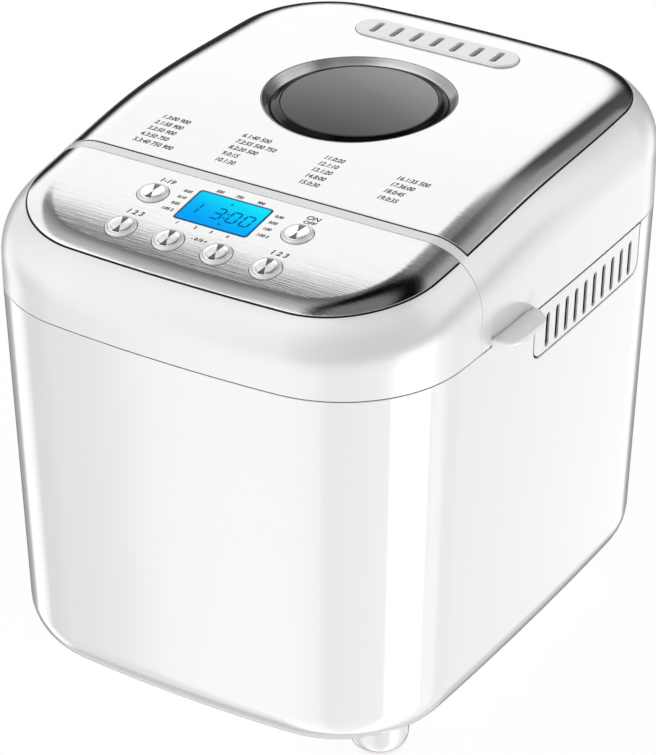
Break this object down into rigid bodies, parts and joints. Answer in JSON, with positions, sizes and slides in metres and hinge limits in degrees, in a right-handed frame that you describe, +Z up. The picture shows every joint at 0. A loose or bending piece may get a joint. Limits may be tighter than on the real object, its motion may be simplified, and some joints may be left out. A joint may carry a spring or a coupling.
{
  "type": "bread machine",
  "caption": "Rounded countertop bread machine with a windowed hinged lid, sloped control fascia with display and push buttons, side vents and a lift-out pan over a belt drive.",
  "frame": {"origin": "on the floor under the middle of the whole object", "axes": "+Z up, -Y towards the control fascia at the front, +X to the right seen from the front"},
  "size_m": [0.2684, 0.3242, 0.272],
  "materials": {
    "white_body": "glossy moulded white",
    "rubber_grey": "matte soft grey",
    "base_steel": "zinc plated sheet",
    "screw_steel": "plated, bright",
    "brushed_sheet": "lengthwise brushed sheet",
    "brushed_ring": "turned, bright",
    "lcd_lens": "clear, flat",
    "lcd_module": "backlit panel",
    "board": "lacquered board",
    "board_parts": "mixed small parts",
    "black_plastic": "moulded black",
    "deck_black": "moulded dark grey",
    "chamber_steel": "pressed sheet",
    "element": "heat darkened sheath",
    "ceramic": "fired ceramic",
    "cast_alloy": "as cast",
    "bronze": "sintered bearing",
    "steel_bar": "ground bar",
    "motor_paint": "dull lacquer",
    "rubber_black": "matte black",
    "pan_coating": "dark non-stick coating",
    "handle_wire": "bright wire",
    "black_gloss": "polished black",
    "window_glass": "dark tinted pane",
    "liner_glass": "clear heat resistant pane",
    "vent_grey": "pale grey",
    "liner_steel": "coated sheet",
    "button_metal": "spun face, bright rim"
  },
  "bodies": {
    "body": {"body_shell": "white_body", "vent_grille_right": "white_body", "vent_grille_left": "white_body", "control_housing": "white_body", "feet": "white_body", "foot_pads": "rubber_grey", "base_plate": "base_steel", "base_screws": "screw_steel", "control_panel": "brushed_sheet", "lcd_lens": "lcd_lens", "lcd_module": "lcd_module", "control_pcb": "board", "power_pcb": "board", "tact_switches": "black_plastic", "power_components": "board_parts", "deck": "deck_black", "chamber_liner": "chamber_steel", "heating_element": "element", "element_bushes": "ceramic", "element_brackets": "chamber_steel", "temperature_sensor": "element", "thermal_fuse": "ceramic", "chassis_plate": "base_steel", "chamber_posts": "base_steel", "bearing_housing": "cast_alloy", "shaft_bushes": "bronze", "hinge_pins": "steel_bar", "motor_body": "motor_paint", "motor_mounts": "rubber_black", "drive_belt": "rubber_black", "cord_gland": "black_plastic", "pan_clips": "chamber_steel"},
    "lid": {"lid_shell": "white_body", "lid_plate": "brushed_sheet", "window_ring": "brushed_ring", "window_bezel": "black_gloss", "window_glass": "window_glass", "vent_cover": "vent_grey", "lid_liner": "liner_steel", "liner_glass": "liner_glass", "lid_gasket": "rubber_grey", "lid_screws": "screw_steel"},
    "drive": {"drive_shaft": "steel_bar", "drive_pulley": "black_plastic", "drive_coupling": "cast_alloy"},
    "rotor": {"motor_shaft": "steel_bar", "motor_pulley": "cast_alloy"},
    "pan": {"bread_pan": "pan_coating", "pan_base": "cast_alloy", "pan_bush": "bronze"},
    "handle": {"pan_handle": "handle_wire"},
    "paddle": {"pan_shaft": "steel_bar", "pan_coupling": "cast_alloy", "kneading_paddle": "pan_coating"},
    "button_menu": {"button_menu": "button_metal"},
    "button_start": {"button_start": "button_metal"},
    "button_weight": {"button_weight": "button_metal"},
    "button_minus": {"button_minus": "button_metal"},
    "button_plus": {"button_plus": "button_metal"},
    "button_crust": {"button_crust": "button_metal"}
  },
  "joints": [
    {"name": "lid_hinge", "type": "hinge", "parent": "body", "child": "lid", "pos_m": [0, 0.1556, 0.2105], "axis": [-1, 0, 0], "range_deg": [0, 95]},
    {"name": "button_menu_press", "type": "slide", "parent": "body", "child": "button_menu", "axis": [0, 0.1453, -0.9894], "range_m": [0, 0.0012], "stiffness_N_per_m": 400},
    {"name": "button_start_press", "type": "slide", "parent": "body", "child": "button_start", "axis": [0, 0.1453, -0.9894], "range_m": [0, 0.0012], "stiffness_N_per_m": 400},
    {"name": "button_weight_press", "type": "slide", "parent": "body", "child": "button_weight", "axis": [0, 0.2226, -0.9749], "range_m": [0, 0.0012], "stiffness_N_per_m": 400},
    {"name": "button_minus_press", "type": "slide", "parent": "body", "child": "button_minus", "axis": [0, 0.2226, -0.9749], "range_m": [0, 0.0012], "stiffness_N_per_m": 400},
    {"name": "button_plus_press", "type": "slide", "parent": "body", "child": "button_plus", "axis": [0, 0.2226, -0.9749], "range_m": [0, 0.0012], "stiffness_N_per_m": 400},
    {"name": "button_crust_press", "type": "slide", "parent": "body", "child": "button_crust", "axis": [0, 0.2226, -0.9749], "range_m": [0, 0.0012], "stiffness_N_per_m": 400},
    {"name": "drive_spin", "type": "hinge", "parent": "body", "child": "drive", "pos_m": [0, 0.0316, 0.023], "axis": [0, 0, 1], "continuous": true},
    {"name": "motor_spin", "type": "hinge", "parent": "body", "child": "rotor", "pos_m": [0.03, -0.1064, 0.023], "axis": [0, 0, 1], "continuous": true},
    {"name": "pan_lift", "type": "slide", "parent": "body", "child": "pan", "axis": [0, 0, 1], "range_m": [0, 0.035]},
    {"name": "paddle_spin", "type": "hinge", "parent": "pan", "child": "paddle", "pos_m": [0, 0.0316, 0.08], "axis": [0, 0, 1], "continuous": true},
    {"name": "handle_swing", "type": "hinge", "parent": "pan", "child": "handle", "pos_m": [0, 0.0316, 0.2025], "axis": [-1, 0, 0], "range_deg": [0, 175]}
  ],
  "couplings": [
    {"joint": "motor_spin", "follows": "drive_spin", "ratio": 4.5},
    {"joint": "paddle_spin", "follows": "drive_spin", "ratio": 1}
  ]
}
